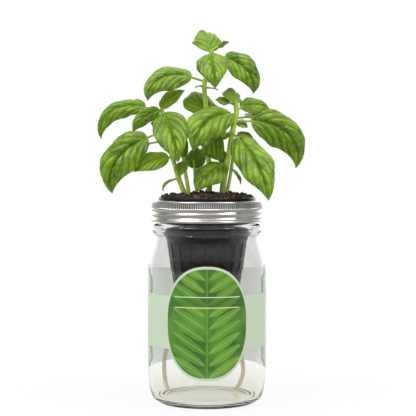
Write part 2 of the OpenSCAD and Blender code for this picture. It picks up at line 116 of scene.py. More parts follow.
# Leaves: name, start from the same middle, turn from +X, rise, droop, petiole, length, width,
# roll, fold, curl, and age and shade, from -1 for a blade darkened by painted shade to 1 for a young yellow
# one
BLADE_T, PETIOLE_D, DROOP_POWER = 0.55, 1.7, 1.5
LARGE_LEAF = 18.0
LEAVES = [
    ("crown", (2.4, 6.4, 117.4), -60, 93, -174, 1, 38, 28, -18, -1, -56, 0.35),
    ("small_top", (4, 5, 119.5), 23, 29, 13, 6, 11, 9, -32, 4, 18, 0.4),
    ("upper_front", (1.5, 6, 116), -80, -21, 63, 1, 42, 25, 9, 20, 54, 0.25),
    ("upper_right", (4.5, 5.5, 117), 1, -18, 84, 10, 42, 30, 48, 19, 50, 0.05),
    ("upper_left", (-2, 6, 94), -172, 17, 115, 11, 49, 31, -42, 0, 35, 0.1),
    ("pale_left", (-37.5, 5.5, 71), 33, 54, 50, 1, 28, 14, 35, 7, 23, 0.95),
    ("far_left", (-36.5, 5.5, 69.5), 175, 13, 122, 14, 55, 21, -70, 2, 85, 0),
    ("small_left", (-36, 3.5, 71.5), -157, -20, 45, 3, 30, 15, -92, -5, 52, 0.1),
    ("big_left", (-31.5, 3.5, 55), -175, -22, 90, 18, 60, 39, -51, 20, 68, 0.1),
    ("centre_left", (-36, 4, 69), -70, -32, 38, 2, 55, 29, 27, 10, 8, 0.2),
    ("centre_back", (-1, 7, 64), 122, 65, 40, 2, 28, 33, 0, 10, 40, 0.35),
    ("centre_front", (23, 0.5, 67), -132, 1, 88, 5, 60, 33, -40, 9, 61, 0.2),
    ("side_crown", (24, 1, 75), -50, 90, -180, 1, 25, 21, 0, 0, -50, 0.5),
    ("small_upper_right", (22, 2, 75), -175, 25, 40, 4, 12, 11, -40, 10, 40, 0.45),
    ("right", (25, 1, 71), 22, 22, 60, 3, 27, 18, 50, 10, 40, 0.3),
    ("far_right", (22, -2.5, 61.5), 13, 0, 115, 14, 65, 35, 72, 6, 56, -0.05),
    ("big_right", (20.5, -4, 52), -56, -30, 48, 8, 67, 33, 26, 14, 74, 0.1),
    ("low_centre", (15, -4, 27), -142, -15, 60, 2, 36, 31, -20, 10, 50, 0.35),
    ("folded", (20, -3, 53), -165, -20, 40, 10, 25, 38, -10, -65, 20, -0.3),
    ("low_back", (-10, 13, 20), 80, 80, 40, 3, 20, 18, 0, 10, 40, -0.4),
    ("low_left", (-29, 3, 32), -165, -4, 45, 2, 32, 18, -55, 10, 40, 0.6),
    ("small_low_left", (-19, -7, 29), -110, -35, 50, 1, 15, 12, 0, 10, 40, 0.3),
    ("seed_left", (-24, 2, 15), -160, -15, 90, 5, 13, 4, -20, 10, 40, 0.1),
    ("small_right", (21, -1, 49), 15, 15, 70, 4, 15, 9, 40, 10, 40, -0.1),
    ("node_right", (21.5, -0.5, 59), 10, 4, 60, 3, 9.5, 9.5, 50, 17, 14, 0.6),
    ("small_mid", (20, -1, 50), 150, 0, 20, 2, 14, 8, -60, 10, 40, 0.8),
    ("seed_right", (20, 12, 23), -15, -40, 60, 3, 13, 5, 20, 10, 40, 0),
    ("bud_left", (-3, 4, 90), -155, 10, 60, 1, 7, 3.5, 0, 10, 40, 0.8),
    ("bud_right", (-1, 4, 89), -30, 0, 30, 1, 11, 3, 0, 10, 40, 0.8),
    ("dark_right", (15, -2, 24), 105, 55, 20, 2, 19, 10, 0, 10, 40, -0.5),
    ("dark_left", (-19, -5, 30), 100, 75, 20, 2, 23, 10, 0, 10, 40, -0.5),
    ("rear_upper", (4, 7, 115), 95, -5, 75, 2, 38, 25, 0, 10, 50, 0),
    ("rear_centre", (0, 7, 58), 92, 5, 75, 4, 52, 30, 0, 10, 50, 0),
    ("rear_left", (-36, 6, 67), 80, -5, 75, 4, 52, 30, 0, 10, 50, 0),
    ("rear_right", (24, 0, 64), 45, 5, 60, 14, 48, 28, 20, 10, 50, 0),
    ("rear_low_right", (20, -1, 44), 60, -5, 80, 8, 58, 32, 10, 10, 50, 0),
    ("rear_low_left", (-33, 5, 46), 145, -8, 80, 20, 48, 32, -10, 10, 50, 0),
    ("rear_low_centre", (2, 6, 20), 90, 10, 70, 2, 40, 26, 0, 10, 50, 0),
]

# Camera and lamps, in metres: each lamp's place, size and whether glass and metal mirror it
CAMERA_PLACE = (0.0, -1.1, 0.204)
CAMERA_LENS, CAMERA_SHIFT = 117.26, (0.0026, -0.1418)
LAMP_AIM = Vector((0, 0, 0.16))
LAMPS = {
    "key": ((-1.2, -0.85, 2.05), 1.1, True),
    "side": ((1.3, -0.7, 2.0), 1.1, True),
    "fill": ((0.0, -2.2, 0.9), 1.6, False),
}

# Floor: the radius of its innermost and outermost rings, and how far it lies under the jar
FLOOR_R, FLOOR_GAP = (60.0, 1400.0), 0.05


def srgb(red, green, blue):
    """A screen colour, 0 to 255 a channel, as the linear colour that shaders use."""
    channels = np.array([red, green, blue]) / 255
    linear = np.where(channels <= 0.04045, channels / 12.92, ((channels + 0.055) / 1.055) ** 2.4)
    return tuple(float(c) for c in linear)


def math_node(operation, swapped=False):
    """A Signal's method that adds a Math node of the signal and the other terms, which come
    first where they are swapped."""
    def method(self, *others):
        terms = (*others, self) if swapped else (self, *others)
        return self.finish.node("ShaderNodeMath", {"operation": operation}, dict(enumerate(terms)))

    return method


class Signal:
    """An output socket of a finish's node tree. Arithmetic on it adds Math nodes."""

    def __init__(self, finish, socket):
        self.finish = finish
        self.socket = socket

    __add__, __radd__ = math_node("ADD"), math_node("ADD", True)
    __sub__, __rsub__ = math_node("SUBTRACT"), math_node("SUBTRACT", True)
    __mul__, __rmul__ = math_node("MULTIPLY"), math_node("MULTIPLY", True)
    __truediv__, __pow__ = math_node("DIVIDE"), math_node("POWER")
    __abs__, sine = math_node("ABSOLUTE"), math_node("SINE")
    fraction, whole = math_node("FRACT"), math_node("FLOOR")
    least, most = math_node("MINIMUM"), math_node("MAXIMUM")

    def fade(self, low, high, start=0.0, end=1.0):
        """Goes smoothly from start to end while this signal goes from low to high."""
        sockets = {"Value": self, "From Min": low, "From Max": high, "To Min": start, "To Max": end}
        return self.finish.node("ShaderNodeMapRange", {"interpolation_type": "SMOOTHSTEP"}, sockets)

    def drop(self, low, high):
        """Goes smoothly from 1 to 0 while this signal goes from low to high."""
        return self.fade(low, high, 1.0, 0.0)


class Finish:
    """The node tree of a material or of the world, built up one node at a time."""

    def __init__(self, owner):
        owner.use_nodes = True
        self.tree = owner.node_tree
        self.tree.nodes.clear()

    def node(self, kind, settings=None, sockets=None, output=0):
        """Adds a node. Settings come first, stops being a ramp's (place, colour) pairs. Sockets
        are named or numbered, and each takes a signal, a number or a colour."""
        node = self.tree.nodes.new(kind)
        for name, value in (settings or {}).items():
            if name == "stops":
                ramp = node.color_ramp
                while len(ramp.elements) < len(value):
                    ramp.elements.new(0.5)
                for element, (place, colour) in zip(ramp.elements, value):
                    element.position = place
                    element.color = (*colour, 1.0)
            else:
                setattr(node, name, value)
        for name, value in (sockets or {}).items():
            socket = node.inputs[name]
            if isinstance(value, Signal):
                self.tree.links.new(value.socket, socket)
            elif socket.type == "RGBA":
                socket.default_value = (*value[:3], 1.0)
            else:
                socket.default_value = value
        return Signal(self, node.outputs[output]) if node.outputs else None

    def place(self):
        """Object coordinates, in metres."""
        return self.node("ShaderNodeTexCoord", output=3)

    def axes(self):
        """Object coordinates, as three signals in millimetres."""
        vector = self.place()
        apart = [self.node("ShaderNodeSeparateXYZ", {}, {0: vector}, k) for k in range(3)]
        return [signal * 1000 for signal in apart]

    def mark(self, name):
        """A number that the mesh holds at each of its points."""
        return self.node("ShaderNodeAttribute", {"attribute_name": name}, output=2)

    def noise(self, size, detail, roughness=0.5):
        """Cloudy noise from 0 to 1, whose patches are about a size long."""
        sockets = {"Vector": self.place(), "Scale": 1000 / size, "Detail": detail, "Roughness": roughness}
        return self.node("ShaderNodeTexNoise", {}, sockets)

    def mix(self, factor, first, second):
        """The colour that goes from first to second as the factor goes from 0 to 1."""
        return self.node("ShaderNodeMix", {"data_type": "RGBA"}, {0: factor, 6: first, 7: second}, 2)

    def bump(self, height, depth, strength):
        """The normal of a surface raised by a height, where 1 is a depth in millimetres."""
        sockets = {"Height": height, "Distance": depth * MM, "Strength": strength}
        return self.node("ShaderNodeBump", {}, sockets)

    def principled(self, **sockets):
        named = {name.replace("_", " "): value for name, value in sockets.items()}
        return self.node("ShaderNodeBsdfPrincipled", {}, named)

    def blend(self, factor, first, second):
        """A shader that goes from first to second as the factor goes from 0 to 1."""
        return self.node("ShaderNodeMixShader", {}, {0: factor, 1: first, 2: second})

    def finish(self, shader, kind="ShaderNodeOutputMaterial"):
        self.node(kind, {}, {"Surface": shader})


def make_material(name, recipe, look):
    """A material with the surface that a recipe makes from a look's colours."""
    material = bpy.data.materials.new(name)
    f = Finish(material)
    f.finish(recipe(f, look))
    return material


def shell(rings, marks=None, wheel=False, inside_out=False):
    """Closed surface through rings, an array of stations x points round x 3. Each face joins
    two neighbours on one ring with the same two on the next. A wheel's last ring joins its
    first, and otherwise each end closes on the mean of its ring. Marks are numbers for each
    point, and come back with the two ends added."""
    stations, around = rings.shape[:2]
    i = np.arange(stations if wheel else stations - 1)[:, None]
    k = np.arange(around)[None, :]
    i_next, k_next = (i + 1) % stations, (k + 1) % around
    corners = i * around + k, i * around + k_next, i_next * around + k_next, i_next * around + k
    quads = np.stack(np.broadcast_arrays(*corners), -1).reshape(-1, 4)
    points = rings.reshape(-1, 3)
    values = {name: np.broadcast_to(v, rings.shape[:2]).reshape(-1) for name, v in (marks or {}).items()}
    triangles = np.zeros((0, 3), int)
    if not wheel:
        k = np.arange(around)
        k_next = (k + 1) % around
        low, high = stations * around, stations * around + 1
        last = (stations - 1) * around
        triangles = np.concatenate([
            np.stack([np.full(around, low), k_next, k], -1),
            np.stack([np.full(around, high), last + k, last + k_next], -1),
        ])
        points = np.concatenate([points, rings[:1].mean(1), rings[-1:].mean(1)])
        for name, v in values.items():
            ends = [v[:around].mean(), v[last:last + around].mean()]
            values[name] = np.concatenate([v, ends])
    if inside_out:
        quads, triangles = quads[:, ::-1], triangles[:, ::-1]
    return points, [quads, triangles], values


def together(shells):
    """Several shells as one: their points end to end, with the faces' numbers moved on."""
    points, faces, values, count = [], [], {}, 0
    for some_points, blocks, marks in shells:
        points.append(some_points)
        faces += [block + count for block in blocks]
        for name, v in marks.items():
            values.setdefault(name, []).append(v)
        count += len(some_points)
    joined = {name: np.concatenate(v) for name, v in values.items()}
    return np.concatenate(points), faces, joined


def new_mesh(name, points, blocks, material):
    """A mesh in metres of points in millimetres and blocks of faces."""
    mesh = bpy.data.meshes.new(name)
    mesh.from_pydata((points * MM).tolist(), [], [f for block in blocks for f in block.tolist()])
    mesh.materials.append(material)
    return mesh


def new_object(name, data):
    """An object in the scene that shows a mesh, a camera or a lamp."""
    new = bpy.data.objects.new(name, data)
    bpy.context.scene.collection.objects.link(new)
    return new


def make_piece(name, surface, material, body, stands_for, crease=35.0):
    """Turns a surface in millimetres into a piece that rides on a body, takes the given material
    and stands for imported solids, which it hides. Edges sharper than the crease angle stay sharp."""
    points, blocks, marks = surface
    mesh = new_mesh(name, points, blocks, material)
    mesh.polygons.foreach_set("use_smooth", np.ones(len(mesh.polygons), bool))
    mesh.set_sharp_from_angle(angle=math.radians(crease))
    for mark, values in marks.items():
        attribute = mesh.attributes.new(mark, "FLOAT", "POINT")
        attribute.data.foreach_set("value", values.astype(np.float32))
    piece = new_object(name, mesh)
    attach(piece, body)
    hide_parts(*stands_for)
    return piece


def full_turn(count):
    """Even angles round a circle, as a row."""
    return np.linspace(0, 2 * np.pi, count, endpoint=False)[None, :]


def revolve(profile, around, reach=None):
    """Rings of a profile turned about the jar's axis: x = r cos a, y = r sin a, z = height. A
    reach function may change r by height and angle."""
    angle = full_turn(around)
    radius, height = profile[:, :1], profile[:, 1:]
    if reach is not None:
        radius = reach(radius, height, angle)
    return np.stack([radius * np.cos(angle), radius * np.sin(angle), height + 0 * angle], -1)


def soften(profile, times):
    """Cuts the corners of a polyline and keeps its two ends: each pass puts points at a quarter
    and three quarters of every edge."""
    for _ in range(times):
        here, ahead = profile[:-1], profile[1:]
        cut = np.stack([0.75 * here + 0.25 * ahead, 0.25 * here + 0.75 * ahead], 1).reshape(-1, 2)
        profile = np.concatenate([profile[:1], cut[1:-1], profile[-1:]])
    return profile


def through(points, steps):
    """Catmull-Rom curve: on the span from p1 to p2 it starts along p2 - p0 and ends along
    p3 - p1, each halved, and passes every point."""
    p = np.array(points, float)
    padded = np.concatenate([p[:1], p, p[-1:]])
    p0, p1, p2, p3 = (padded[k:len(p) - 1 + k, None] for k in range(4))
    t = np.linspace(0, 1, steps, endpoint=False)[None, :, None]
    curve = p1 + t * ((p2 - p0) / 2 + t * (p0 - 2.5 * p1 + 2 * p2 - 0.5 * p3
                                           + t * (1.5 * p1 - 1.5 * p2 + 0.5 * p3 - 0.5 * p0)))
    return np.concatenate([curve.reshape(-1, 3), p[-1:]])


def cross_axes(path):
    """Two unit vectors across a path at each of its points: u, which is square to the path
    and to +Y, and v, which is square to the path and to u."""
    ahead = np.gradient(path, axis=0)
    ahead /= np.linalg.norm(ahead, axis=1, keepdims=True)
    u = np.cross(ahead, [0.0, 1.0, 0.0])
    u /= np.linalg.norm(u, axis=1, keepdims=True)
    return u, np.cross(ahead, u)


def tube_rings(path, radius, sides):
    """Rings round a path: point + radius (cos a u + sin a v), the radius by station and side."""
    u, v = cross_axes(path)
    angle = full_turn(sides)[..., None]
    radius = np.asarray(radius)[..., None]
    return path[:, None] + radius * (np.cos(angle) * u[:, None] + np.sin(angle) * v[:, None])


def waviness(points, size, seed):
    """Smooth random height near -1 to 1: the sum of 16 sine waves in random directions, each
    from half a size to two sizes long, over the square root of 8."""
    rng = np.random.default_rng(seed)
    directions = rng.normal(size=(16, 3))
    directions /= np.linalg.norm(directions, axis=1, keepdims=True)
    waves = directions * 2 * np.pi / (size * rng.uniform(0.5, 2, (16, 1)))
    return np.sin(points @ waves.T + rng.uniform(0, 2 * np.pi, 16)).sum(-1) / math.sqrt(8)


def line(radius, height):
    """A stretch of a profile. Either its radius or its height may be one number."""
    return np.stack(np.broadcast_arrays(radius, height), 1)


def half_wave(from_r, to_r, from_z, to_z, count):
    """Shoulder line: the height goes evenly while the radius eases by half a cosine wave."""
    t = np.linspace(0, 1, count + 1)
    radius = from_r + (to_r - from_r) * (1 - np.cos(np.pi * t)) / 2
    return line(radius, from_z + (to_z - from_z) * t)


def quarter_oval(from_r, to_r, from_z, to_z, count):
    """Heel line: the radius grows by the sine and the height by one less the cosine."""
    a = np.linspace(0, np.pi / 2, count + 1)
    return line(from_r + (to_r - from_r) * np.sin(a), to_z - (to_z - from_z) * np.cos(a))


def glass_surface():
    """The jar's section, turned about its axis: under the floor, up the outside with its heel,
    shoulder, bead and neck, over the rim, and down the inside to the floor."""
    bead_z = JAR_H - BEAD_DROP
    inner_r = JAR_R - GLASS_T
    neck_z = np.arange(bead_z + 5, JAR_H - 1.5, 0.5)
    profile = np.concatenate([
        [(2, PUNT_H), (FOOT_R - 7, PUNT_H), (FOOT_R - 3, 0), (FOOT_R, 0)],
        quarter_oval(FOOT_R + 3, JAR_R, 2.5, HEEL_H, 14),
        half_wave(JAR_R, NECK_R + 1, JAR_H - SHOULDER_H, bead_z - 5, 20),
        [(BEAD_R - 1, bead_z - 3), (BEAD_R, bead_z - 1.5), (BEAD_R, bead_z + 1.5)],
        [(BEAD_R - 1, bead_z + 3), (NECK_R, bead_z + 4)],
        line(NECK_R, neck_z),
        [(NECK_R, JAR_H - 1.5), (NECK_R - 1.5, JAR_H), (MOUTH_R + 1, JAR_H)],
        [(MOUTH_R, JAR_H - 1)],
        half_wave(MOUTH_R, inner_r, bead_z - 4, JAR_H - SHOULDER_H - 3, 20),
        quarter_oval(FOOT_R + 0.5, inner_r, FLOOR_T - 1, HEEL_H, 14)[::-1],
        [(FOOT_R - 6, FLOOR_T), (2, FLOOR_T)],
    ])

    def thread_reach(radius, height, angle):
        """On the neck r grows by the thread's depth times 1 - h^2, where h is the height over a
        line that climbs one pitch in each clockwise turn, in half widths of the ridge. The
        ridge fades at its two ends."""
        turned = (-angle / (2 * np.pi)) % 1
        ridge = np.zeros(np.broadcast_shapes(height.shape, angle.shape))
        for lap in (0, 1):
            turns = turned + lap
            above = height - (JAR_H - THREAD_DROP) - THREAD_PITCH * turns
            ends = np.clip(np.minimum(20 * turns, 20 * (THREAD_TURNS - turns)), 0, 1)
            ridge = np.maximum(ridge, np.clip(1 - (above / THREAD_HALF) ** 2, 0, 1) * ends)
        on_neck = (radius > NECK_R - 0.3) & (height > bead_z + 4)
        return radius + THREAD_OUT * ridge * on_neck

    return shell(revolve(soften(profile, 2), 180, thread_reach))


def label_surface():
    """A band of paper round the jar whose half height, at each angle from the front, is the
    greatest of the strap's, the front oval's and the back panel's."""
    r = JAR_R + LABEL_GAP
    edge = math.radians(180 - BACK_ANGLE / 2)
    step = 1e-4
    steps = np.array([edge - step, edge + step])
    angle = np.unique(np.concatenate([np.linspace(-np.pi, np.pi, 361)[:-1], steps, -steps]))
    across = np.clip(np.abs(r * np.sin(angle)) / (OVAL_W / 2), 0, 1)
    oval = OVAL_H / 2 * (1 - across ** OVAL_POWER) ** (1 / OVAL_POWER) * (np.cos(angle) > 0)
    inside = (np.cos(edge) - np.cos(angle)) * r / BACK_CORNER
    back = (BACK_H / 2 - BACK_CORNER * (1 - np.clip(inside, 0, 1))) * (np.abs(angle) > edge)
    half = np.maximum(STRAP_H / 2, np.maximum(oval, back))[:, None]
    radius = np.array([r + LABEL_T, r + LABEL_T, r, r])[None, :]
    height = LABEL_MID + half * np.array([1, -1, -1, 1])[None, :]
    angle = angle[:, None]
    rings = np.stack([radius * np.sin(angle), -radius * np.cos(angle), height], -1)
    return shell(rings, {"reverse": np.array([0.0, 0.0, 1.0, 1.0])[None, :]}, wheel=True)


def band_surface(look):
    """The band's tinplate section turned about the axis. The rolled thread cuts half of one
    minus a sine, whose phase grows down the wall and once more in each turn. The knurl cuts a
    depth times half of one minus the cosine of its count times the angle, and leans in by a
    share of its height, with all that is above it."""
    low, top = BAND_LOW_Z + CURL_R, BAND_TOP_Z
    curl_r = BAND_R - TIN_T / 2 + 0.3
    curl_angle = np.radians(np.linspace(180, 400, 14))
    wall_z = np.concatenate([
        np.linspace(low + 1.1, KNURL_LOW_Z, 22), np.linspace(KNURL_LOW_Z + 0.3, KNURL_HIGH_Z + 0.3, 11),
    ])
    shoulder = np.radians(np.linspace(0, 90, 9))
    inner_z = np.linspace(top - TIN_T - 1, low + 0.6, 20)
    profile = np.concatenate([
        line(curl_r + CURL_R * np.cos(curl_angle), low + CURL_R * np.sin(curl_angle)),
        line(BAND_R, wall_z),
        line(BAND_R - 1.8 + 1.8 * np.cos(shoulder), top - 1.4 + 1.4 * np.sin(shoulder)),
        [(BAND_HOLE_R + 0.3, top), (BAND_HOLE_R, top - 0.3), (BAND_HOLE_R + 0.2, top - TIN_T)],
        [(BAND_R - TIN_T - 0.8, top - TIN_T)],
        line(BAND_R - TIN_T, inner_z),
    ])

    def rolled_reach(radius, height, angle):
        down = np.clip((KNURL_LOW_Z - height) / (KNURL_LOW_Z - low), 0, 1)
        ends = np.clip(np.minimum(down, 1 - down) * 7, 0, 1)
        wave = (1 - np.sin(2 * np.pi * (down - 0.21) / 0.44 + angle)) / 2 * ends
        cut = look.roll_depth / MM * wave * (radius > BAND_R - TIN_T - 0.1)
        middle = np.clip(np.minimum(height - KNURL_LOW_Z, KNURL_HIGH_Z - height) * 2.5, 0, 1)
        ridges = 0.5 - 0.5 * np.cos(look.knurl_count * angle)
        cut = cut + look.knurl_depth / MM * ridges * middle * (radius > BAND_R - 0.1)
        over_rim = np.clip((radius - BAND_HOLE_R - 1) / 2, 0, 1)
        climbed = np.clip(height - KNURL_LOW_Z, 0, KNURL_HIGH_Z - KNURL_LOW_Z)
        return radius - cut - KNURL_LEAN * climbed * over_rim

    return shell(revolve(profile, 6 * look.knurl_count, rolled_reach), wheel=True)


def crown_height(radius):
    """The medium's top: a quarter sine over the share of the way in from its edge."""
    return SOIL_Z + CROWN_H * np.sin(np.pi / 2 * np.clip(1 - radius / (SOIL_R + 0.1), 0, 1))


def medium_surface(look):
    """A turned plug of coir. Its side is pulled in and its crown raised by random waves, with
    loose crumbs and fibres lying on top."""
    corners = np.array(PLUG_SIDE)
    places = [np.linspace(a, b, max(3, int(np.hypot(*(b - a)) / 1.1)), endpoint=False)
              for a, b in zip(corners[:-1], corners[1:])]
    top_r = np.linspace(SOIL_R, 0.8, 34)
    profile = np.concatenate(places + [line(top_r, crown_height(top_r))])
    rings = revolve(profile, 170)
    flat = rings.reshape(-1, 3)
    rough = 0.7 * waviness(flat, 5, 3) + 0.5 * waviness(flat, 1.8, 4)
    rough = rough.reshape(rings.shape[:2])
    top = (np.arange(len(profile)) >= len(profile) - len(top_r))[:, None]
    side = 1 - 0.018 * np.clip(0.8 + rough, 0, 2)
    rings[..., :2] *= np.where(top, 1.0, side)[..., None]
    rings[..., 2] += np.where(top, 0.9 * rough - 0.3, 0.0)
    plug = shell(rings, {"tone": 0.5 + 0.4 * rough})
    return together([plug, crumb_surface(look), *fibre_surfaces(look)])


def crumb_surface(look):
    """Loose crumbs, each a ball of 6 rings of 8 points whose radius is changed by waves."""
    rng = np.random.default_rng(11)
    tilt = np.radians(np.linspace(-75, 75, 6))[:, None]
    turn = np.radians(np.arange(0, 360, 45))[None, :]
    ball = np.cos(tilt) * np.cos(turn), np.cos(tilt) * np.sin(turn), np.sin(tilt) + 0 * turn
    points, blocks, _ = shell(np.stack(ball, -1))
    count = look.crumb_count
    away = (SOIL_R - 1) * np.sqrt(rng.uniform(0.0, 1, count))
    angle = rng.uniform(0, 2 * np.pi, count)
    size = 0.55 + 1.5 * rng.uniform(0, 1, count) ** 3
    lift = 0.35 * size + rng.uniform(-0.2, 0.3, count)
    centre = np.stack([away * np.cos(angle), away * np.sin(angle), crown_height(away) + lift], -1)
    shift = rng.uniform(0, 90, (count, 1, 3))
    wave = waviness((points[None] + shift).reshape(-1, 3), 1.6, 5).reshape(count, len(points), 1)
    stretch = rng.uniform(0.6, 1.25, (count, 1, 3))
    every = centre[:, None] + size[:, None, None] * points[None] * stretch * (1 + 0.28 * wave)
    moved = [(block[None] + (np.arange(count) * len(points))[:, None, None]).reshape(-1, block.shape[1])
             for block in blocks]
    tone = np.repeat(rng.uniform(0, 1, count) ** 1.5, len(points))
    return every.reshape(-1, 3), moved, {"tone": tone}


def fibre_surfaces(look):
    """Coir fibres: thin bent tubes through three random points near the crown."""
    rng = np.random.default_rng(23)
    fibres = []
    for _ in range(look.fibre_count):
        away = (SOIL_R - 8) * math.sqrt(rng.uniform())
        angle, heading = rng.uniform(0, 6.28), rng.uniform(0, 6.28)
        middle = np.array([away * math.cos(angle), away * math.sin(angle), 0])
        reach = rng.uniform(2, 5) * np.array([math.cos(heading), math.sin(heading), 0])
        route = [middle - reach, middle + rng.normal(0, 0.8, 3), middle + reach]
        for point in route:
            point[2] = crown_height(np.hypot(point[0], point[1])) + rng.uniform(0.2, 1.6)
        path = through(route, 6)
        fibres.append(shell(tube_rings(path, 0.16, 5), {"tone": 0.9}))
    return fibres


def wick_surface(route, look):
    """Three cotton strands wound round the route, each a tube whose middle turns once in each
    lay length. Returns the surface and the route's smooth path."""
    start = (route[0][0], route[0][1], POT_FLOOR_Z)
    path = through([start] + list(route[1:]), 10)
    u, v = cross_axes(path)
    run = np.concatenate([[0], np.cumsum(np.linalg.norm(np.diff(path, axis=0), axis=1))])
    strands = []
    for strand in range(3):
        turn = (2 * np.pi * (run / (look.lay_length / MM) + strand / 3))[:, None]
        middle = path + STRAND_OUT * (np.cos(turn) * u + np.sin(turn) * v)
        radius = STRAND_R + 0.05 * np.sin(run * 1.7 + strand)
        marks = {"run": run[:, None], "round": np.linspace(0, 1, 12, endpoint=False)[None, :]}
        strands.append(shell(tube_rings(middle, radius[:, None], 12), marks))
    return together(strands), path


def stem_surface(row):
    """A slightly square tube up the stem, r (1 + 0.06 cos 4a), with a swelling where each leaf
    joins it."""
    _, low_d, high_d, points = row
    buried = (points[0][0], points[0][1], points[0][2] - PLANT_DEPTH)
    path = np.concatenate([[buried], through(points, 12)])
    share = np.linspace(0, 1, len(path))
    joints = np.array([leaf[1] for leaf in LEAVES], float)
    near = np.linalg.norm(path[:, None] - joints[None], axis=2)
    swelling = np.exp(-((near / 2.4) ** 2)).max(1)
    radius = (low_d + (high_d - low_d) * share) / 2 * (1 + 0.2 * swelling)
    angle = full_turn(16)
    path = path + [0, 0, RIM_Z]
    rings = tube_rings(path, radius[:, None] * (1 + 0.06 * np.cos(4 * angle)), 16)
    return shell(rings, {"height": share[:, None], "joint": swelling[:, None]})


def blade_outline(s):
    """Share of its greatest width that a blade has at a share of its length."""
    return np.clip(np.sin(np.pi * s ** 0.8), 0, None) ** (0.55 + 0.4 * s)


def arc(length, start, bend):
    """Where an arc ends that starts at an angle and bends down by another."""
    bend = np.where(np.abs(bend) < 1e-4, 1e-4, bend)
    return (length / bend * (np.sin(start) - np.sin(start - bend)),
            length / bend * (np.cos(start - bend) - np.cos(start)))


def midrib(start, turn, rise, droop, roll, petiole, length, distance):
    """A leaf's middle line, whose pitch is rise - droop s^1.5. Returns its points at distances
    from the blade's foot, with the unit vectors to the blade's side and up from its face."""
    s = np.clip(distance / length, 0, 1)
    fine = np.linspace(0, 1, 301)
    pitch = rise - droop * ((fine[1:] + fine[:-1]) / 2) ** DROOP_POWER
    gone = np.concatenate([[0], np.cumsum(np.cos(pitch))]) * length / 300
    risen = np.concatenate([[0], np.cumsum(np.sin(pitch))]) * length / 300
    stalk = np.minimum(petiole + distance, petiole)
    along = np.array([np.cos(turn), np.sin(turn), 0])
    left = np.array([-np.sin(turn), np.cos(turn), 0])
    up = np.array([0, 0, 1.0])
    forward = (stalk * np.cos(rise) + np.interp(s, fine, gone))[:, None]
    climb = (stalk * np.sin(rise) + np.interp(s, fine, risen))[:, None]
    middle = np.array(start) + [0, 0, RIM_Z] + forward * along + climb * up
    pitch = (rise - droop * s ** DROOP_POWER)[:, None]
    above = np.cos(pitch) * up - np.sin(pitch) * along
    side = np.cos(roll) * left + np.sin(roll) * above
    face = np.cos(roll) * above - np.sin(roll) * left
    return middle[:, None], side[:, None], face[:, None]


def leaf_surface(row, look, seed):
    """A petiole and blade round one midrib. Across it the blade is an arc that starts at the
    fold and bends down by the curl. Relief adds pads between side veins, which run forward as
    0.5 v^1.25, a groove along the midrib and waves near the margin."""
    _, start, turn, rise, droop, petiole, length, width, roll, fold, curl, age = row
    rows, columns = (56, 32) if length >= LARGE_LEAF else (28, 16)
    turn, rise, droop, roll, fold, curl = np.radians([turn, rise, droop, roll, fold, curl])
    even = np.linspace(0, 1, rows)
    blade = length * (even - 0.12 * np.sin(2 * np.pi * even) / 2)
    distance = np.concatenate([np.linspace(-petiole, 0, 7)[:-1], blade])
    middle, side, face = midrib(start, turn, rise, droop, roll, petiole, length, distance)

    s = np.clip(distance / length, 0, 1)[:, None]
    top = np.linspace(-1, 1, columns + 1)
    v = np.concatenate([top, top[-2:0:-1]])[None, :]
    facing = np.concatenate([np.ones(columns + 1), -np.ones(columns - 1)])[None, :]
    opened = np.minimum(1, 5 * s)
    away = np.abs(v)
    teeth = 1 + 0.012 * np.sin(2 * np.pi * 13 * s + seed) * opened
    half = np.maximum(width / 2 * blade_outline(s) * teeth, PETIOLE_D / 2 * (1 - 0.7 * s))
    out, lifted = arc(half * away, fold * opened, curl * opened * away)
    lean = (fold - curl * away) * opened * np.sign(v)

    ribs = look.rib_count * (s - 0.5 * away ** 1.25) + 0.15 * np.sign(v)
    pads = np.abs(np.sin(np.pi * ribs)) ** 0.7 * 2 * np.sqrt(away * (1 - away))
    groove = np.exp(-((half * v / 1.6) ** 2))
    ripple = away ** 3 * np.sin(2 * np.pi * (2.3 * s + 0.37 * seed) + 1.3 * np.sign(v))
    puff = look.quilting / MM * width / 40
    relief = (puff * (pads - 0.9 * groove) + 0.035 * width * ripple) * opened * (1 - s ** 6)

    swell = (PETIOLE_D + (BLADE_T - PETIOLE_D) * np.minimum(1, 4 * s)) / 2
    thick = swell * np.sqrt(np.clip(1 - away ** (2 + 12 * opened), 0, 1))
    rib = 0.6 * np.exp(-((half * v / 0.7) ** 2)) * opened * (1 - 0.6 * s) * (facing < 0)
    height = relief + facing * (thick + rib)
    skin = np.cos(lean)[..., None] * face - np.sin(lean)[..., None] * side
    points = (middle + (np.sign(v) * out)[..., None] * side + lifted[..., None] * face
              + height[..., None] * skin)
    marks = {"along": s, "across": half * v, "ribs": ribs, "age": age, "under": (facing < 0) * 1.0}
    return shell(points, marks, inside_out=True)


def glass_finish(f, look):
    """Clear glass with a faint tint, deeper in its thick base, and slow waves. The light of
    lamps goes straight through it to what it holds."""
    normal = f.bump(f.noise(38, 1.0), 0.5, look.waves)
    tint = f.mix(f.axes()[2].fade(4, 30), look.base_tint, look.tint)
    glass = f.principled(
        Base_Color=tint, Roughness=0.015, IOR=1.45, Specular_IOR_Level=0.3, Transmission_Weight=1.0,
        Normal=normal)
    clear = f.node("ShaderNodeBsdfTransparent", {}, {"Color": look.tint})
    shadow = f.node("ShaderNodeLightPath", output=1)
    return f.blend(shadow, glass, clear)


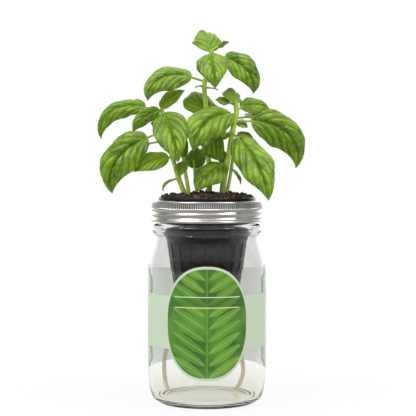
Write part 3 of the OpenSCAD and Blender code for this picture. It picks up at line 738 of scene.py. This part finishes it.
def label_finish(f, look):
    """Pale green paper with a leaf-toned oval in front: pairs of slim leaves up a middle stem
    over cloudy greens, two thin cream rules and a pale border. Its reverse is whiter, and the
    back panel lets more light through."""
    x, y, z = f.axes()
    high = z - LABEL_MID
    across = abs(x)
    ring = (across / (OVAL_W / 2 - BORDER_SIDE)) ** OVAL_POWER
    ring = ring + (abs(high) / (OVAL_H / 2 - BORDER_END)) ** OVAL_POWER
    oval = ring.drop(0.985, 1.0) * y.drop(-6.0, -5.0)

    slant = high - SPRIG_SLOPE * across
    number = (slant / look.sprig_pitch).whole()
    offset = slant - look.sprig_pitch * (number + 0.5)
    reach = ((across - SPRIG_START) / SPRIG_REACH).most(0.0).least(1.0)
    half_leaf = SPRIG_HALF * ((reach * math.pi).sine().most(0.0001) ** 0.65)
    leaf = (half_leaf - abs(offset)).fade(-0.15, 0.25)
    hand = x.fade(-0.1, 0.1, 0.0, 7.3)
    chance = f.node("ShaderNodeTexWhiteNoise", {"noise_dimensions": "1D"}, {"W": number + hand})
    clouds = f.noise(17, 3.0)
    grain = f.noise(2.2, 3.0)
    ground = f.mix(clouds.fade(0.35, 0.65), look.print_dark, look.print_mid)
    shade = (0.25 + 0.6 * chance + 0.35 * (clouds - 0.5) + 0.25 * (grain - 0.5)).most(0.0).least(1.0)
    blade = f.mix(shade, look.print_mid, look.print_light)
    rib = abs(offset).drop(0.15, 0.45) * reach.fade(0.0, 0.1)
    blade = f.mix(rib * 0.35, blade, look.rule_colour)
    stem = across.drop(0.35, 0.75)
    design = f.mix(leaf * 0.72, ground, blade)
    design = f.mix(stem * 0.5, design, look.print_light)
    upper, lower = (abs(high - place).drop(0.22, 0.5) for place in (RULES_HIGH, RULES_LOW))
    rules = upper.most(lower)
    ribbon = abs(high - RIBBON_HIGH).drop(3.9, 4.1)
    design = f.mix(ribbon * 0.55, design, look.print_dark)
    design = f.mix(rules * across.fade(RULES_END - 0.2, RULES_END + 0.4, 0.85, 0.0), design, look.rule_colour)

    paper = f.mix(grain * 0.25, look.paper, look.paper_shade)
    front = f.mix(oval, paper, design)
    reverse = f.mark("reverse").fade(0.4, 0.6)
    colour = f.mix(reverse, front, look.reverse)
    fibres = f.noise(0.5, 3.0)
    normal = f.bump(fibres, 0.03, 0.35)
    sheet = f.principled(Base_Color=colour, Roughness=0.42 + 0.12 * fibres, Normal=normal)
    thin = f.node("ShaderNodeBsdfTranslucent", {}, {"Color": look.reverse})
    share = look.light_through * (1 - 0.85 * oval)
    return f.blend(share + (look.back_through - share) * y.fade(0.0, 10.0), sheet, thin)


def tinplate_finish(f, look):
    """Satin tinplate with faint marks that run round the band. Over the knurl, drawn by the same
    cosine that cuts it, the ridges carry a painted highlight and the furrows a painted shadow."""
    x, y, z = f.axes()
    sockets = {"W": z, "Scale": 3.5, "Detail": 4.0}
    streaks = f.node("ShaderNodeTexNoise", {"noise_dimensions": "1D"}, sockets)
    cloud = f.noise(9, 3.0)
    colour = f.mix(0.35 * streaks + 0.4 * cloud, look.metal, look.metal_shade)
    roughness = look.satin + 0.12 * streaks + 0.08 * cloud
    turn = f.node("ShaderNodeMath", {"operation": "ARCTAN2"}, {0: y, 1: x})
    # Painted shadow: the mask of the knurl's furrows, where the metal is darkened
    furrow_shadow = (look.knurl_count * turn + math.pi / 2).sine().drop(-0.75, 0.25)
    zone = z.fade(KNURL_LOW_Z + 0.1, KNURL_LOW_Z + 0.5)
    zone = zone * z.drop(KNURL_HIGH_Z - 0.5, KNURL_HIGH_Z - 0.1)
    # Painted highlight: the knurl's zone is lightened towards the ridge colour
    colour = f.mix(0.8 * zone, colour, look.ridge)
    # Painted shadow darkens the knurl's furrows
    colour = f.mix(0.95 * furrow_shadow * zone, colour, look.furrow_shadow)
    normal = f.bump(f.noise(0.9, 4.0, 0.6), 0.04, 0.35)
    return f.principled(Base_Color=colour, Metallic=1.0, Roughness=roughness, Normal=normal)


def pot_finish(f, look):
    """Black moulded plastic: a fine grain, and soft dull patches."""
    patches = f.noise(14, 3.0)
    colour = f.mix(patches, look.plastic, look.plastic_worn)
    normal = f.bump(f.noise(0.6, 2.0), 0.05, 0.4)
    roughness = 0.2 + 0.14 * patches
    return f.principled(Base_Color=colour, Specular_IOR_Level=0.12, Roughness=roughness, Normal=normal)


def coir_finish(f, look):
    """Damp brown-black coir: each crumb has its own tone, and the pits that the bump sinks
    are darker with painted shade.
    """
    tone = f.mark("tone")
    patches = f.noise(3.0, 5.0, 0.65)
    pits = f.noise(0.9, 3.0, 0.6)
    # Painted shade: the low patches, which the bump sinks into pits, go towards the darkest coir, mixed with
    # each crumb's own tone
    share = (0.55 * tone + 0.7 * (patches - 0.35)).most(0.0).least(1.0)
    stops = [(0.0, look.coir_dark_and_pit_shade), (0.55, look.coir), (1.0, look.coir_light)]
    colour = f.node("ShaderNodeValToRGB", {"stops": stops}, {"Fac": share})
    normal = f.bump(pits + patches, 0.7, 0.9)
    return f.principled(Base_Color=colour, Roughness=0.75 + 0.2 * pits, Normal=normal)


def cotton_finish(f, look):
    """Natural cotton that is tanned at the top and cream below, with twisted fibres drawn
    along each strand."""
    run, around = f.mark("run"), f.mark("round")
    twist = ((around * 9 + run * 1.1) * 2 * math.pi).sine()
    fuzz = f.noise(0.7, 4.0, 0.7)
    height = f.axes()[2] + 14 * (f.noise(9, 2.0) - 0.5)
    colour = f.mix(height.fade(38, 68), look.cotton, look.cotton_tan)
    colour = f.mix(0.5 * fuzz.fade(0.35, 0.7), colour, look.cotton_shade)
    normal = f.bump(0.4 * twist + fuzz, 0.25, 0.8)
    return f.principled(Base_Color=colour, Roughness=0.9, Normal=normal, Sheen_Weight=0.3)


def stem_finish(f, look):
    """Yellow-green stem: paler near the soil, greener above, with fine lines up it."""
    share, joint = f.mark("height"), f.mark("joint")
    streaks = f.noise(2.5, 4.0)
    colour = f.mix(share.fade(0.1, 0.9), look.stem_low, look.stem_high)
    colour = f.mix(0.55 * streaks.fade(0.4, 0.75), colour, look.stem_line)
    colour = f.mix(0.4 * joint, colour, look.stem_high)
    normal = f.bump(f.noise(0.6, 3.0, 0.7), 0.12, 0.5)
    return f.principled(Base_Color=colour, Roughness=0.42 + 0.15 * streaks, Normal=normal)


def leaf_finish(f, look):
    """A living basil blade: deep and bright greens in clouds and mottles, pads between side creases
    with painted shade, painted shade beside the midrib, whose middle is paler towards its foot, a
    fine net of veins, a paler underside, and some of the light from behind coming through."""
    along, ribs, age = f.mark("along"), f.mark("ribs"), f.mark("age")
    beside, under = abs(f.mark("across")), f.mark("under").fade(0.4, 0.6)
    from_vein = abs((ribs + 0.5).fraction() - 0.5)
    pads = from_vein.fade(0.0, 0.13)
    veins = from_vein.drop(0.0, 0.09) * along.fade(0.02, 0.12) * beside.fade(0.6, 2.0)
    veins = veins * along.drop(0.8, 0.98)
    midline = beside.drop(0.2, 0.75)
    stalk = along.drop(0.0, 0.03)
    sockets = {"Vector": f.place(), "Scale": 420.0}
    cells = f.node("ShaderNodeTexVoronoi", {"feature": "DISTANCE_TO_EDGE"}, sockets)
    net = cells.drop(0.0, 0.12)
    mottle = f.noise(2.4, 4.0, 0.6)

    deep = f.mix(f.noise(11, 3.0).fade(0.3, 0.7), look.leaf_deep_and_shade, look.leaf_green)
    deep = f.mix(0.5 * mottle.fade(0.4, 0.75), deep, look.leaf_bright)
    # Painted shade: darker towards the side veins, in the creases between the pads
    colour = f.mix(0.7 - 0.7 * pads, deep, look.leaf_deep_and_shade)
    # Painted shade along the midrib's crease, on the upper face only
    crease = beside.drop(0.5, 1.7) * (1 - under)
    for factor, shade in (
        (0.6 * crease, look.leaf_deep_and_shade),
        (age.fade(0.0, 1.0, 0.0, 0.9), look.leaf_young),
        # Painted shade: a blade below age 0 is darkened as if it stood in shade
        (age.fade(-1.0, 0.0, 0.85, 0.0), look.leaf_deep_and_shade),
        (0.12 * net, look.leaf_bright),
        (0.35 * veins * under, look.vein),
        ((midline * along.fade(0.1, 0.7, 0.75, 0.2)).most(stalk), look.vein),
        (0.4 * under, look.underside),
    ):
        colour = f.mix(factor, colour, shade)

    roughness = 0.28 + 0.14 * mottle + 0.2 * under + 0.08 * veins
    normal = f.bump(0.6 * pads - 0.2 * net + 0.25 * mottle - 0.8 * midline * (1 - under), 0.4, 0.8)
    blade = f.principled(
        Base_Color=colour, Roughness=roughness, Specular_IOR_Level=0.8, Specular_Tint=(0.86, 1.0, 0.55),
        Normal=normal)
    through_light = f.node("ShaderNodeBsdfTranslucent", {}, {"Color": look.glow})
    return f.blend(look.light_through, blade, through_light)


def floor_finish(f, look):
    """White floor that keeps the planter's shadow. To the camera, and in glass and metal, it
    is lifted to the white of the backdrop, the more the farther it is from the jar."""
    camera, glossy, transmission = (f.node("ShaderNodeLightPath", output=k) for k in (0, 3, 6))
    x, y, _ = f.axes()
    lift = ((x * x + y * y) ** 0.5).fade(60, 230, look.floor_lift, 1.0)
    seen = camera.most(transmission).most(glossy * y.fade(-60, 60))
    base = f.principled(Base_Color=look.floor_colour, Roughness=0.9, Specular_IOR_Level=0.0)
    white = f.node("ShaderNodeEmission", {}, {"Color": (1.0, 1.0, 1.0), "Strength": 1.0})
    return f.blend(lift * seen, base, white)


def world_light(look):
    """Plain white to the camera. The planter stands in a pale studio with a bright wall behind
    it, a panel overhead, and a dark strip in front that metal and glass mirror. Glass shows
    the wall behind it as nearly white."""
    world = bpy.data.worlds.new("studio")
    bpy.context.scene.world = world
    f = Finish(world)
    camera, transmission = (f.node("ShaderNodeLightPath", output=k) for k in (0, 6))
    vector = f.node("ShaderNodeTexCoord", output=0)
    y, z = (f.node("ShaderNodeSeparateXYZ", {}, {0: vector}, k) for k in (1, 2))
    front = y.drop(-0.8, -0.2) * z.drop(0.4, 0.58)
    strip = z.fade(-0.3, -0.2) * z.drop(0.25, 0.42) * y.drop(-0.75, -0.45)
    panel = z.fade(0.6, 0.92) * y.fade(-0.6, -0.3, 0.35, 1.0)
    level = look.fill_light * (0.65 + 0.5 * z.fade(0.2, 0.8)) * (1 - 0.65 * front)
    level = level + (look.back_light - level) * y.fade(0.5, 0.9) + look.top_light * panel
    wall = look.wall_light * (0.8 + 0.2 * y.fade(0.2, 0.8)) * (1 - 0.7 * front)
    for share, other in ((transmission, wall), (strip, look.front_light), (camera, 1)):
        level = level + (other - level) * share
    background = f.node("ShaderNodeBackground", {}, {"Color": level, "Strength": 1.0})
    f.finish(background, "ShaderNodeOutputWorld")


def swatch(name, painted, default):
    """The colour of what is painted, among a group's settings."""
    return bpy.props.FloatVectorProperty(
        name=name, description=f"Colour of {painted}", default=default, subtype="COLOR", min=0.0, max=1.0)


def amount(name, description, default, low, high, **unit):
    """A number among a group's settings, from low to high."""
    return bpy.props.FloatProperty(
        name=name, description=description, default=default, min=low, max=high, **unit)


def quantity(name, description, default, low, high):
    """A whole number among a group's settings, from low to high."""
    return bpy.props.IntProperty(name=name, description=description, default=default, min=low, max=high)


LENGTH = {"subtype": "DISTANCE", "unit": "LENGTH", "precision": 5}
POWER = {"subtype": "POWER", "unit": "POWER"}
SHARE = {"subtype": "FACTOR"}


class JarLook(bpy.types.PropertyGroup):
    tint: swatch("Glass tint", "light that comes through the glass", (0.96, 0.965, 0.95))
    base_tint: swatch("Base tint", "its thick base", (0.88, 0.885, 0.8))
    waves: amount("Waves", "Strength of the slow waves in the glass", 0.12, 0.0, 1.0)


class LabelLook(bpy.types.PropertyGroup):
    paper: swatch("Paper", "the strap and border", srgb(201, 222, 192))
    paper_shade: swatch("Paper shade", "the paper's fibres", srgb(190, 214, 180))
    reverse: swatch("Reverse", "the paper's back", srgb(246, 247, 244))
    print_dark: swatch("Dark print", "the oval where it is deepest", srgb(44, 92, 20))
    print_mid: swatch("Middle print", "most of the oval", srgb(78, 132, 30))
    print_light: swatch("Light print", "the oval where it is lightest", srgb(116, 166, 48))
    rule_colour: swatch("Rules", "the thin rules", srgb(214, 230, 176))
    light_through: amount("Light through", "Share of light that the front lets by", 0.3, 0.0, 1.0, **SHARE)
    back_through: amount("Back light through", "The same for the back panel", 0.75, 0.0, 1.0, **SHARE)
    sprig_pitch: amount("Sprig pitch", "Millimetres between pairs of printed leaves", 9.5, 5.0, 20.0)


class BandLook(bpy.types.PropertyGroup):
    metal: swatch("Tinplate", "the bright metal", srgb(184, 182, 176))
    metal_shade: swatch("Tinplate shade", "its duller marks", srgb(140, 137, 130))
    # Painted highlight laid over the knurl's ridges
    ridge: swatch("Knurl ridge", "the knurl's bright ridges", srgb(248, 247, 244))
    # Painted shadow in the knurl's furrows
    furrow_shadow: swatch("Knurl furrow", "the furrows between the ridges", srgb(46, 44, 41))
    satin: amount("Satin", "Roughness of the brightest metal", 0.16, 0.02, 1.0)
    knurl_count: quantity("Knurl count", "Ridges round the band", 156, 90, 200)
    knurl_depth: amount("Knurl depth", "Depth of the knurl", 0.0006, 0.0, 0.0008, **LENGTH)
    roll_depth: amount("Roll depth", "Depth of the rolled wave", 0.0012, 0.0, 0.0015, **LENGTH)


class PotLook(bpy.types.PropertyGroup):
    plastic: swatch("Plastic", "the moulded plastic", srgb(18, 18, 19))
    plastic_worn: swatch("Dull plastic", "its dull patches", srgb(30, 30, 31))
    coir: swatch("Coir", "most of the growing medium", srgb(58, 42, 30))
    # Darkest coir of the dark crumbs, and painted shade in the pits
    coir_dark_and_pit_shade: swatch("Dark coir", "its pits", srgb(22, 17, 14))
    coir_light: swatch("Light coir", "its dry crumbs and fibres", srgb(112, 84, 58))
    crumb_count: quantity("Crumbs", "Loose crumbs on the medium", 900, 0, 1500)
    fibre_count: quantity("Fibres", "Loose fibres on the medium", 70, 0, 200)


class WickLook(bpy.types.PropertyGroup):
    cotton: swatch("Cotton", "the wick's lower part", srgb(250, 240, 212))
    cotton_tan: swatch("Tanned cotton", "its upper part", srgb(234, 194, 108))
    cotton_shade: swatch("Cotton shade", "the gaps between its fibres", srgb(230, 208, 150))
    lay_length: amount(
        "Lay length", "Length in which a strand winds round once", 0.012, 0.006, 0.03, **LENGTH)


class PlantLook(bpy.types.PropertyGroup):
    leaf_green: swatch("Leaf", "most of a grown leaf", srgb(118, 158, 20))
    # Deep green of a grown leaf, also painted as shade in its creases and over shaded blades
    leaf_deep_and_shade: swatch("Deep leaf", "a grown leaf where it is darkest", srgb(46, 82, 2))
    leaf_bright: swatch("Bright leaf", "a grown leaf where it is lightest", srgb(166, 200, 48))
    leaf_young: swatch("Young leaf", "a young leaf", srgb(150, 184, 40))
    underside: swatch("Underside", "a leaf's back", srgb(146, 184, 78))
    vein: swatch("Vein", "midribs and side veins", srgb(172, 204, 88))
    glow: swatch("Glow", "light that comes through a leaf", srgb(150, 190, 12))
    stem_low: swatch("Lower stem", "a stem near the soil", srgb(192, 206, 86))
    stem_high: swatch("Upper stem", "a stem near its top", srgb(164, 192, 52))
    stem_line: swatch("Stem line", "the lines up a stem", srgb(120, 150, 36))
    rib_count: amount("Side veins", "Side veins in each half of a blade", 5.0, 3.0, 10.0)
    quilting: amount("Quilting", "Height of a 40 mm wide leaf's pads", 0.0021, 0.0, 0.003, **LENGTH)
    light_through: amount("Light through", "Share of light that a blade lets by", 0.26, 0.0, 1.0, **SHARE)


class StageLook(bpy.types.PropertyGroup):
    floor_colour: swatch("Floor", "the floor", (0.5, 0.5, 0.5))
    floor_lift: amount("Floor lift", "White added to the floor near the jar", 0.86, 0.0, 1.0)
    fill_light: amount("Fill light", "Level of the sides and ceiling", 0.62, 0.0, 2.0)
    front_light: amount("Front light", "Level of the dark strip in front", 0.05, 0.0, 2.0)
    top_light: amount("Top light", "Light that the overhead panel adds", 1.1, 0.0, 4.0)
    wall_light: amount("Wall", "Level of the backdrop as seen through glass", 0.76, 0.0, 2.0)
    back_light: amount("Back light", "Level of the light from the backdrop", 2.8, 0.0, 4.0)
    key_power: amount("Key lamp", "Power of the key lamp", 32.0, 0.0, 200.0, **POWER)
    side_power: amount("Side lamp", "Power of the side lamp", 22.0, 0.0, 200.0, **POWER)
    fill_power: amount("Fill lamp", "Power of the lamp behind the camera", 15.0, 0.0, 200.0, **POWER)


class PLANTER_OT_camera(bpy.types.Operator):
    """Set the camera in front of the label, just above the pot's rim"""

    bl_idname = "planter.camera"
    bl_label = "Camera"

    def execute(self, context):
        data = bpy.data.cameras.new("front_camera")
        data.sensor_width, data.lens = 36.0, CAMERA_LENS
        data.clip_start = 0.05
        data.shift_x, data.shift_y = CAMERA_SHIFT
        camera = new_object("front_camera", data)
        camera.location = CAMERA_PLACE
        camera.rotation_euler = (math.pi / 2, 0.0, 0.0)
        context.scene.camera = camera
        return {"FINISHED"}


class PLANTER_OT_wicks(bpy.types.Operator):
    """Lay the two twisted cotton wicks from the growing medium to the jar's floor"""

    bl_idname = "planter.wicks"
    bl_label = "Wicks"

    def execute(self, context):
        look = context.scene.planter_wicks
        material = make_material("wick_cotton", cotton_finish, look)
        for name, route in (("left", WICK_LEFT), ("right", WICK_RIGHT)):
            surface, path = wick_surface(route, look)
            node = f"wick_{name}"
            wick = make_piece(f"cotton_wick_{name}", surface, material, "insert", [node], 60)
        return {"FINISHED"}


class PLANTER_OT_stage(bpy.types.Operator):
    """Lay the white floor and set up the studio's light"""

    bl_idname = "planter.stage"
    bl_label = "Floor and light"

    def execute(self, context):
        look = context.scene.planter_stage
        radius = np.geomspace(*FLOOR_R, 24)
        points, (rings, ends), _ = shell(revolve(line(radius, -FLOOR_GAP)[::-1], 64))
        material = make_material("white_floor", floor_finish, look)
        mesh = new_mesh("floor", points, [rings, ends[64:]], material)
        new_object("floor", mesh)
        world_light(look)
        for name, (place, size, mirrored) in LAMPS.items():
            data = bpy.data.lights.new(f"{name}_lamp", "AREA")
            data.energy, data.size = getattr(look, f"{name}_power"), size
            lamp = new_object(f"{name}_lamp", data)
            lamp.location = place
            lamp.visible_glossy = lamp.visible_transmission = mirrored
            lamp.rotation_euler = (LAMP_AIM - Vector(place)).to_track_quat("-Z", "Y").to_euler()
        context.scene.view_settings.view_transform = "Standard"
        return {"FINISHED"}


class PLANTER_OT_jar(bpy.types.Operator):
    """Turn the glass jar"""

    bl_idname = "planter.jar"
    bl_label = "Glass jar"

    def execute(self, context):
        material = make_material("jar_glass", glass_finish, context.scene.planter_jar)
        make_piece("glass_vessel", glass_surface(), material, "jar", ["glass_jar"], 60)
        return {"FINISHED"}


class PLANTER_OT_label(bpy.types.Operator):
    """Wrap the printed label round the jar"""

    bl_idname = "planter.label"
    bl_label = "Label"

    def execute(self, context):
        material = make_material("label_print", label_finish, context.scene.planter_label)
        make_piece("paper_label", label_surface(), material, "jar", ["label"])
        return {"FINISHED"}


class PLANTER_OT_band(bpy.types.Operator):
    """Roll and knurl the screw band"""

    bl_idname = "planter.band"
    bl_label = "Screw band"

    def execute(self, context):
        look = context.scene.planter_band
        material = make_material("band_tinplate", tinplate_finish, look)
        make_piece("rolled_band", band_surface(look), material, "band", ["screw_band"], 60)
        return {"FINISHED"}


class PLANTER_OT_pot(bpy.types.Operator):
    """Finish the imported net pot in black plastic"""

    bl_idname = "planter.pot"
    bl_label = "Net pot"

    def execute(self, context):
        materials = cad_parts["net_pot"].data.materials
        materials.clear()
        materials.append(make_material("pot_plastic", pot_finish, context.scene.planter_pot))
        return {"FINISHED"}


class PLANTER_OT_medium(bpy.types.Operator):
    """Fill the net pot with crumbly coir"""

    bl_idname = "planter.medium"
    bl_label = "Growing medium"

    def execute(self, context):
        look = context.scene.planter_pot
        material = make_material("coir_medium", coir_finish, look)
        make_piece("coir_plug", medium_surface(look), material, "insert", ["growing_medium"], 80)
        return {"FINISHED"}


class PLANTER_OT_stems(bpy.types.Operator):
    """Grow the stems"""

    bl_idname = "planter.stems"
    bl_label = "Stems"

    def execute(self, context):
        material = make_material("basil_stem", stem_finish, context.scene.planter_plant)
        for row in STEMS:
            node, surface = f"stem_{row[0]}", stem_surface(row)
            make_piece(f"stalk_{row[0]}", surface, material, "insert", [node], 80)
        return {"FINISHED"}


class PLANTER_OT_leaves(bpy.types.Operator):
    """Grow the leaves on their stems"""

    bl_idname = "planter.leaves"
    bl_label = "Leaves"

    def execute(self, context):
        look = context.scene.planter_plant
        material = make_material("basil_leaf", leaf_finish, look)
        for seed, row in enumerate(LEAVES):
            node, surface = f"leaf_{row[0]}", leaf_surface(row, look, seed)
            make_piece(f"blade_{row[0]}", surface, material, "insert", [node], 80)
        return {"FINISHED"}


class PLANTER_PT_pieces(bpy.types.Panel):
    """Buttons that make each piece of the planter, with its sizes and colours"""

    bl_idname = "PLANTER_PT_pieces"
    bl_label = "Jar planter"
    bl_space_type = "VIEW_3D"
    bl_region_type = "UI"
    bl_category = "Jar planter"

    def draw(self, context):
        for operator in OPERATORS:
            self.layout.operator(operator.bl_idname)
        for name, look in LOOKS.items():
            box = self.layout.box()
            for key in look.__annotations__:
                box.prop(getattr(context.scene, name), key)


OPERATORS = (
    PLANTER_OT_camera, PLANTER_OT_wicks, PLANTER_OT_stage, PLANTER_OT_jar, PLANTER_OT_label,
    PLANTER_OT_band, PLANTER_OT_pot, PLANTER_OT_medium, PLANTER_OT_stems, PLANTER_OT_leaves,
)
LOOKS = {
    "planter_jar": JarLook, "planter_label": LabelLook, "planter_band": BandLook,
    "planter_pot": PotLook, "planter_wicks": WickLook, "planter_plant": PlantLook,
    "planter_stage": StageLook,
}


def register():
    for name, look in LOOKS.items():
        bpy.utils.register_class(look)
        setattr(bpy.types.Scene, name, bpy.props.PointerProperty(type=look))
    for cls in (*OPERATORS, PLANTER_PT_pieces):
        bpy.utils.register_class(cls)


def unregister():
    for cls in (PLANTER_PT_pieces, *reversed(OPERATORS)):
        bpy.utils.unregister_class(cls)
    for name, look in LOOKS.items():
        delattr(bpy.types.Scene, name)
        bpy.utils.unregister_class(look)


def main():
    register()
    bpy.ops.planter.camera()
    bpy.ops.planter.wicks()
    bpy.ops.planter.stage()
    bpy.ops.planter.jar()
    bpy.ops.planter.label()
    bpy.ops.planter.band()
    bpy.ops.planter.pot()
    bpy.ops.planter.medium()
    bpy.ops.planter.stems()
    bpy.ops.planter.leaves()


if __name__ == "__main__":
    main()
